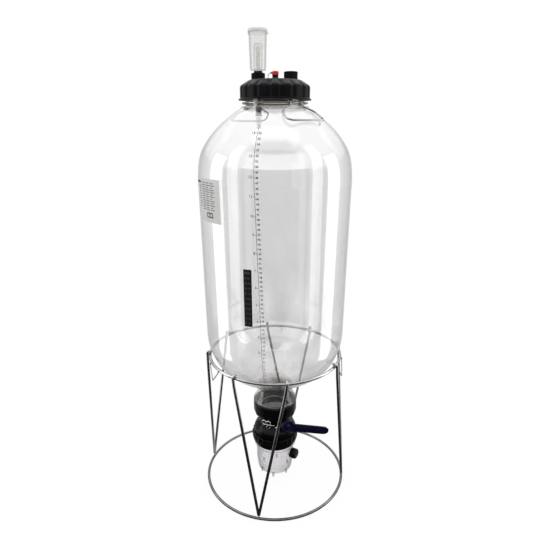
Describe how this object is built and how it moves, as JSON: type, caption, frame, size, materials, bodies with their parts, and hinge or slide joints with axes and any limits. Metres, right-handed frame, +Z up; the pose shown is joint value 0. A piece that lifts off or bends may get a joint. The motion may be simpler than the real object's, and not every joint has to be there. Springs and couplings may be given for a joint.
{
  "type": "conical fermenter",
  "caption": "Clear conical fermenting vessel in a wire stand, with screw lid, airlock, dump valve and collection container.",
  "frame": {"origin": "on the floor, under the middle of the stand's base ring", "axes": "+Z up along the vessel's axis, -Y towards the front with the scale, +X to the front view's right"},
  "size_m": [0.4054, 0.4054, 1.15],
  "materials": {
    "stainless_wire": "bright drawn wire",
    "clear_pet": "clear gloss",
    "clear_plastic": "clear gloss",
    "black_plastic": "satin moulded",
    "black_rubber": "matt",
    "silicone": "matt",
    "red_plastic": "gloss",
    "blue_plastic": "satin",
    "strip_black": "satin film",
    "label_film": "satin film"
  },
  "bodies": {
    "stand": {"base_ring": "stainless_wire", "top_ring": "stainless_wire", "leg_front": "stainless_wire", "leg_right": "stainless_wire", "leg_back": "stainless_wire", "leg_left": "stainless_wire", "tie_loop_left": "stainless_wire", "tie_loop_right": "stainless_wire"},
    "vessel": {"vessel": "clear_pet", "thermometer_strip": "strip_black", "info_label": "label_film", "handle_collar": "stainless_wire", "outlet_seal": "silicone", "valve_body": "black_plastic", "valve_seat": "black_rubber", "keeper_wire": "stainless_wire", "container": "clear_plastic", "container_gasket": "silicone"},
    "handle_front": {"handle_front": "stainless_wire"},
    "handle_back": {"handle_back": "stainless_wire"},
    "lid": {"lid_disc": "black_plastic", "lid_gasket": "silicone", "airlock_grommet": "black_rubber", "drop_spigot": "black_plastic", "drop_tube": "clear_plastic", "relief_body": "black_plastic", "relief_spring": "stainless_wire"},
    "lid_collar": {"lid_collar": "black_plastic"},
    "bored_cap": {"bored_cap": "black_plastic"},
    "blank_cap": {"blank_cap": "black_plastic", "blank_cap_liner": "black_rubber"},
    "relief_knob": {"relief_knob": "red_plastic"},
    "relief_ring": {"relief_ring": "stainless_wire"},
    "airlock": {"airlock_cup": "clear_plastic"},
    "airlock_float": {"airlock_float": "clear_plastic"},
    "airlock_cap": {"airlock_cap": "clear_plastic"},
    "upper_nut": {"upper_union_nut": "black_plastic"},
    "valve_lever": {"valve_disc": "black_plastic", "valve_shaft": "stainless_wire", "valve_lever": "blue_plastic", "lever_screw": "blue_plastic"},
    "lock_pin": {"lock_pin": "stainless_wire"},
    "keeper_ring": {"keeper_ring": "stainless_wire"},
    "lower_nut": {"lower_union_nut": "black_plastic"},
    "port_cap": {"port_cap": "black_plastic"}
  },
  "joints": [
    {"name": "vessel_lift", "type": "slide", "parent": "stand", "child": "vessel", "axis": [0, 0, 1], "range_m": [0, 0.3]},
    {"name": "handle_front_swing", "type": "hinge", "parent": "vessel", "child": "handle_front", "pos_m": [0.04111, -0.05658, 1.0092], "axis": [-0.809, -0.5878, 0], "range_deg": [0, 55]},
    {"name": "handle_back_swing", "type": "hinge", "parent": "vessel", "child": "handle_back", "pos_m": [-0.04111, 0.05658, 1.0092], "axis": [0.809, 0.5878, 0], "range_deg": [0, 55]},
    {"name": "lid_lift", "type": "slide", "parent": "vessel", "child": "lid", "axis": [0, 0, 1], "range_m": [0, 0.15]},
    {"name": "collar_turn", "type": "hinge", "parent": "lid", "child": "lid_collar", "pos_m": [0, 0, 1.03], "axis": [0, 0, 1], "range_deg": [0, 540]},
    {"name": "bored_cap_turn", "type": "hinge", "parent": "lid", "child": "bored_cap", "pos_m": [-0.0362, 0, 1.06], "axis": [0, 0, 1], "range_deg": [0, 540]},
    {"name": "blank_cap_turn", "type": "hinge", "parent": "lid", "child": "blank_cap", "pos_m": [0.0339, 0, 1.06], "axis": [0, 0, 1], "range_deg": [0, 540]},
    {"name": "relief_pull", "type": "slide", "parent": "lid", "child": "relief_knob", "axis": [0, 0, 1], "range_m": [0, 0.003], "stiffness_N_per_m": 300, "springref_m": -0.004, "deforming": ["relief_spring"]},
    {"name": "relief_ring_swing", "type": "hinge", "parent": "relief_knob", "child": "relief_ring", "pos_m": [-0.008, 0.0104, 1.0697], "axis": [1, 0, 0], "range_deg": [0, 90]},
    {"name": "airlock_lift", "type": "slide", "parent": "lid", "child": "airlock", "axis": [0, 0, 1], "range_m": [0, 0.05]},
    {"name": "airlock_float_rise", "type": "slide", "parent": "airlock", "child": "airlock_float", "axis": [0, 0, 1], "range_m": [0, 0.018]},
    {"name": "airlock_cap_lift", "type": "slide", "parent": "airlock", "child": "airlock_cap", "axis": [0, 0, 1], "range_m": [0, 0.03]},
    {"name": "upper_nut_turn", "type": "hinge", "parent": "vessel", "child": "upper_nut", "pos_m": [0, 0, 0.23], "axis": [0, 0, -1], "range_deg": [0, 540]},
    {"name": "valve_turn", "type": "hinge", "parent": "vessel", "child": "valve_lever", "pos_m": [0, 0, 0.2], "axis": [-0.5, 0.866, 0], "range_deg": [0, 90]},
    {"name": "lock_pull", "type": "slide", "parent": "vessel", "child": "lock_pin", "axis": [0.0698, -0.9976, 0], "range_m": [0, 0.004], "stiffness_N_per_m": 400, "springref_m": -0.004},
    {"name": "keeper_ring_swing", "type": "hinge", "parent": "vessel", "child": "keeper_ring", "pos_m": [-0.01792, -0.05516, 0.2051], "axis": [-0.309, -0.9511, 0], "range_deg": [-30, 30]},
    {"name": "lower_nut_turn", "type": "hinge", "parent": "vessel", "child": "lower_nut", "pos_m": [0, 0, 0.13], "axis": [0, 0, -1], "range_deg": [0, 540]},
    {"name": "port_cap_turn", "type": "hinge", "parent": "vessel", "child": "port_cap", "pos_m": [0.0551, -0.03445, 0.088], "axis": [0.848, -0.5299, 0], "range_deg": [0, 540]}
  ]
}
